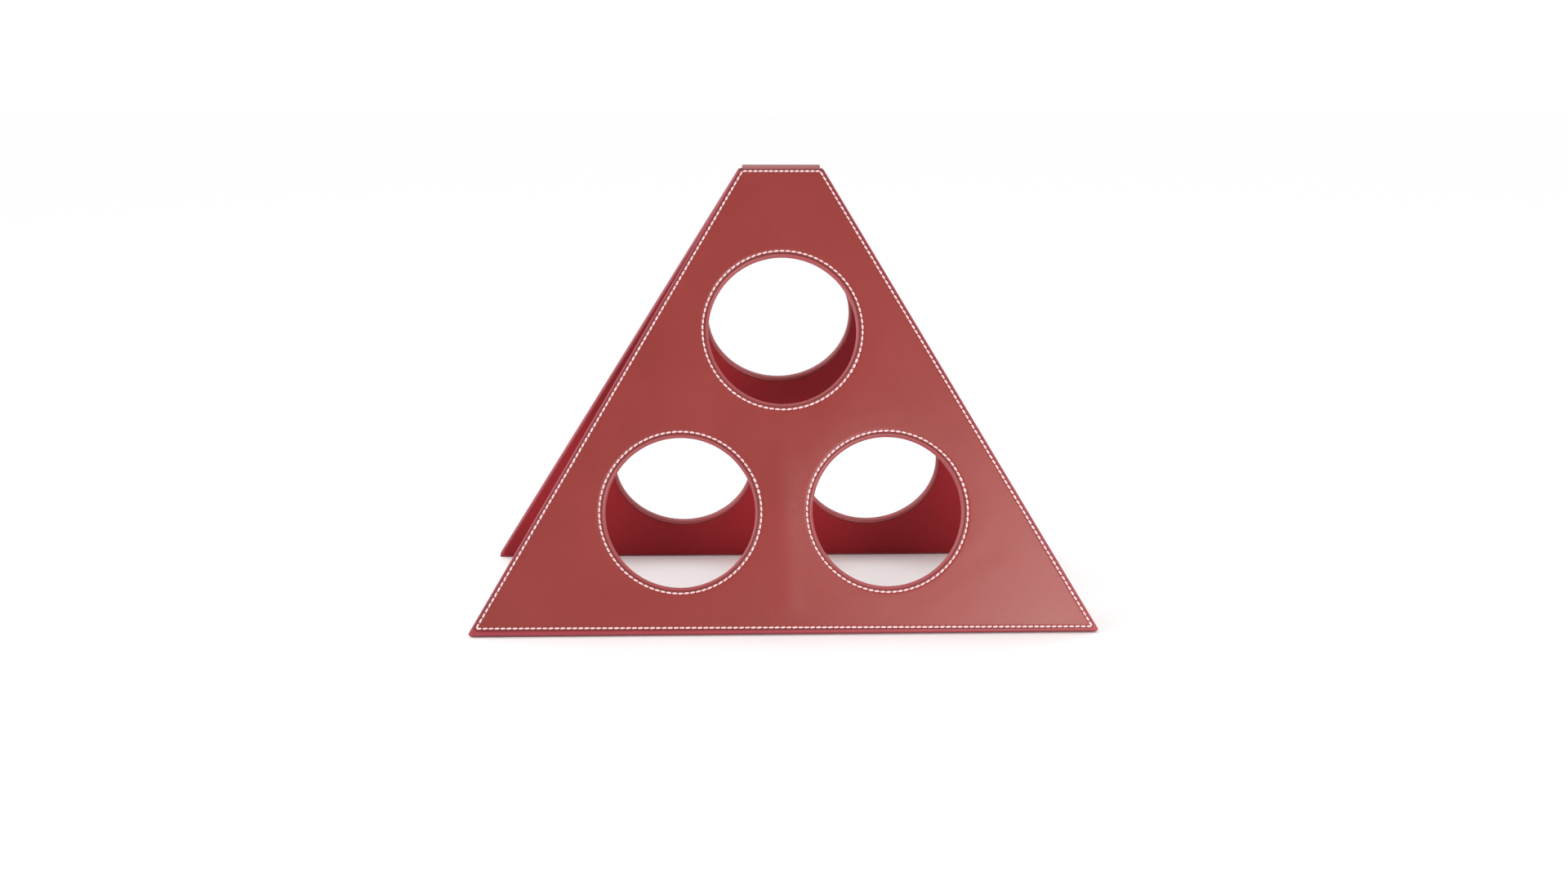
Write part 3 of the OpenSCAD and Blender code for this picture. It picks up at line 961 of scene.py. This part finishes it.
wire(
    sew,
    (ends, "Position 2", run, 0),
    (ends, "Position 1", run, 1),
    (sew_in, "Geometry", keep_run, "Geometry"),
    (run, "Vector", keep_run, "Run"),
    (heft, "Attribute", keep_run, "Heft"),
    (keep_run, "Geometry", spots, "Mesh"),
    (along_stitch, "Factor", thickness, "Value"),
    (arc_line, "Curve", swollen, "Curve"),
    (thickness, "Value", swollen, "Radius"),
    (swollen, "Curve", tube, "Curve"),
    (round_section, "Curve", tube, "Profile Curve"),
    (keep_run, "Run", face_run, "Vector"),
    (face_run, "Rotation", face_out, "Rotation"),
    (sew_in, "Outward", face_out, "Vector"),
    (sew_in, "Slant", least_slant, 0),
    (sew_in, "Slant Spread", least_slant, 1),
    (sew_in, "Slant", most_slant, 0),
    (sew_in, "Slant Spread", most_slant, 1),
    (least_slant, "Value", jitter, random_min),
    (most_slant, "Value", jitter, random_max),
    (sew_in, "Seed", jitter, "Seed"),
    (jitter, random_value, tilt, "Z"),
    (face_out, "Rotation", slanted, "Rotation"),
    (tilt, "Vector", slanted, "Rotate By"),
    (keep_run, "Run", run_length, 0),
    (run_length, "Value", stitch_length, 0),
    (sew_in, "Reach", stitch_length, 1),
    (stitch_length, "Value", stretch, 0),
    (sew_in, "Thread Width", stitch_width, 0),
    (keep_run, "Heft", stitch_width, 1),
    (stretch, "Value", scale, "X"),
    (stitch_width, "Value", scale, "Y"),
    (stitch_width, "Value", flattened, 0),
    (flattened, "Value", scale, "Z"),
    (spots, "Points", copies, "Points"),
    (tube, "Mesh", copies, "Instance"),
    (slanted, "Rotation", copies, "Rotation"),
    (scale, "Vector", copies, "Scale"),
    (copies, "Instances", real, "Geometry"),
    (real, "Geometry", shade, "Geometry"),
    (shade, "Geometry", coloured, "Geometry"),
    (sew_in, "Thread", coloured, "Material"),
    (coloured, "Geometry", sew_out, "Geometry"),
)
print("sewing tree has", len(sew.nodes), "nodes")

# %% [markdown]
# The chains of needle holes come from the same counts that pinched the covers, so thread and dips agree.
# Each round seam ends by going over its first few stitches again, which shows as a short thicker stretch.

# %% Sew both panels
thread_sunk = 0.12
thread_level = cover_top - thread_sunk
double_at = {"left": 20.0, "right": 20.0, "top": -28.0}  # degrees round the hole
double_reach = 1.6  # stitches to each side
double_heft = 1.35


def seam_chains():
    """Needle holes as (x, v, w), the edges between them, and how thick each stitch is."""
    needle_holes = []
    chain = []
    heavy = []
    for i in range(4):
        first = len(needle_holes)
        for k in range(edge_stitches[i] + 1):
            spot = seam_corners[i] + (seam_corners[(i + 1) % 4] - seam_corners[i]) * k / edge_stitches[i]
            needle_holes.append((*spot, thread_level))
        chain.extend((first + k, first + k + 1) for k in range(edge_stitches[i]))
        heavy.extend([1.0] * edge_stitches[i])
    step = 360.0 / hole_stitches
    for side, centre in holes.items():
        first = len(needle_holes)
        for k in range(hole_stitches):
            a = math.radians(k * step)
            x = centre[0] + seam_r * math.cos(a)
            v = centre[1] + seam_r * math.sin(a)
            needle_holes.append((x, v, thread_level))
            chain.append((first + k, first + (k + 1) % hole_stitches))
            gap = (k * step + step / 2 - double_at[side] + 180.0) % 360.0 - 180.0
            heavy.append(double_heft if abs(gap) < double_reach * step else 1.0)
    return np.array(needle_holes), chain, np.array(heavy, np.float32)


needle_holes, chain, heavy = seam_chains()
seam_nodes = ("edge_seam", "top_seam", "left_seam", "right_seam")
for panel, seed in (("front", 5), ("back", 6)):
    line = bpy.data.meshes.new(f"{panel}_seam_line")
    line.from_pydata(stand_up(needle_holes, panel).tolist(), chain, [])
    line.attributes.new("heft", "FLOAT", "EDGE").data.foreach_set("value", heavy)
    sewn = bpy.data.objects.new(f"{panel}_seam_line", line)
    bpy.context.collection.objects.link(sewn)
    modifier = sewn.modifiers.new("sew", "NODES")
    modifier.node_group = sew
    settings = {"Outward": outward(panel)[:], "Seed": seed, "Thread": thread}
    for item in sew.interface.items_tree:
        if item.in_out == "INPUT" and item.name in settings:
            modifier[item.identifier] = settings[item.name]
    depsgraph = bpy.context.evaluated_depsgraph_get()
    stitched = bpy.data.meshes.new_from_object(sewn.evaluated_get(depsgraph))
    bpy.data.objects.remove(sewn)
    stitched.name = f"{panel}_stitches"
    stitches = bpy.data.objects.new(f"{panel}_stitches", stitched)
    bpy.context.collection.objects.link(stitches)
    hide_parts(*(f"{panel}_{n}" for n in seam_nodes))
    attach(stitches, f"{panel}_panel")
    print(panel, "stitches:", len(chain), "with", len(stitched.polygons), "faces")

# %% [markdown]
# The stage is a white studio. Everything glows except the side where the photographer stands, which is dim,
# and that is what gives satin leather its depth: the top of the panel mirrors the dim side, and its lower
# corners mirror the softboxes. The world's brightness follows the direction, and rays from the camera always
# find it white.

# %% Floor and world
bpy.context.scene.view_settings.view_transform = "Standard"
floor_corners = [(-6, -5, 0), (6, -5, 0), (6, 7, 0), (-6, 7, 0)]
floor_mesh = bpy.data.meshes.new("studio_floor")
floor_mesh.from_pydata(floor_corners, [], [(0, 1, 2, 3)])
floor = bpy.data.objects.new("studio_floor", floor_mesh)
bpy.context.collection.objects.link(floor)
paper = new_material("studio_paper", {"Base Color": (0.97, 0.96, 0.963, 1.0), "Roughness": 0.9})[0]
floor_mesh.materials.append(paper)

world = bpy.data.worlds.new("studio")
world.use_nodes = True
bpy.context.scene.world = world
sky = world.node_tree
sky_glow = sky.nodes["Background"]
set_inputs(sky_glow, {"Color": (1.0, 1.0, 1.0, 1.0)})
sky_way = add_node(sky, "ShaderNodeTexCoord")
sky_parts = add_node(sky, "ShaderNodeSeparateXYZ")
sky_levels = {"From Min": -0.95, "From Max": 0.0, "To Min": 0.3, "To Max": 1.05}
sky_level = add_node(sky, "ShaderNodeMapRange", sky_levels, interpolation_type="SMOOTHSTEP")
sky_ray = add_node(sky, "ShaderNodeLightPath")
sky_pick = add_node(sky, "ShaderNodeMix", {"B": 1.06})
wire(
    sky,
    (sky_way, "Generated", sky_parts, "Vector"),
    (sky_parts, "Y", sky_level, "Value"),
    (sky_level, "Result", sky_pick, "A"),
    (sky_ray, "Is Camera Ray", sky_pick, "Factor"),
    (sky_pick, "Result", sky_glow, "Strength"),
)
print("world tree has", len(sky.nodes), "nodes")

# %% [markdown]
# Softboxes stand low in front, and a large one on the left. Photographers hang a card, called a flag,
# between a light and the floor when it washes out the shadow at the foot. Light linking does the same: the
# right softbox is two lights, and the flagged one, just behind the other, lights everything but the floor.

# %% Lights
warm = (1.0, 0.93, 0.88)
white = (1.0, 1.0, 1.0)


def add_light(kind, name, spot, target):
    """A light of some kind, aimed at a point and hidden from the camera."""
    lamp = bpy.data.objects.new(name, bpy.data.lights.new(name, kind))
    bpy.context.collection.objects.link(lamp)
    lamp.location = spot
    lamp.rotation_euler = (Vector(target) - Vector(spot)).to_track_quat("-Z", "Y").to_euler()
    lamp.visible_camera = False
    return lamp


ceiling = add_light("SUN", "ceiling_light", (0, 0, 2), (0, 0, 0))
ceiling.data.angle = math.radians(110)
ceiling.data.energy = 0.45
softboxes = {
    "right_softbox": ((0.36, -0.78, 0.19), (0.1, 0.0, 0.05), 0.3, 1.8, warm),
    "flagged_softbox": ((0.363, -0.788, 0.191), (0.1, 0.0, 0.05), 0.3, 2.7, warm),
    "corner_softbox": ((-0.46, -0.78, 0.16), (-0.14, 0.0, 0.05), 0.25, 0.56, white),
    "left_softbox": ((-1.3, -0.2, 0.6), (0.0, 0.0, 0.1), 0.9, 8.9, white),
}
lamps = {}
for name, (spot, target, size, power, colour) in softboxes.items():
    lamps[name] = add_light("AREA", name, spot, target)
    lamps[name].data.shape = "SQUARE"
    lamps[name].data.size = size
    lamps[name].data.energy = power
    lamps[name].data.color = colour
flag = bpy.data.collections.new("floor_behind_the_flag")
flag.objects.link(floor)
flag.collection_objects[0].light_linking.link_state = "EXCLUDE"
lamps["flagged_softbox"].light_linking.receiver_collection = flag
print("lights:", 1 + len(lamps))
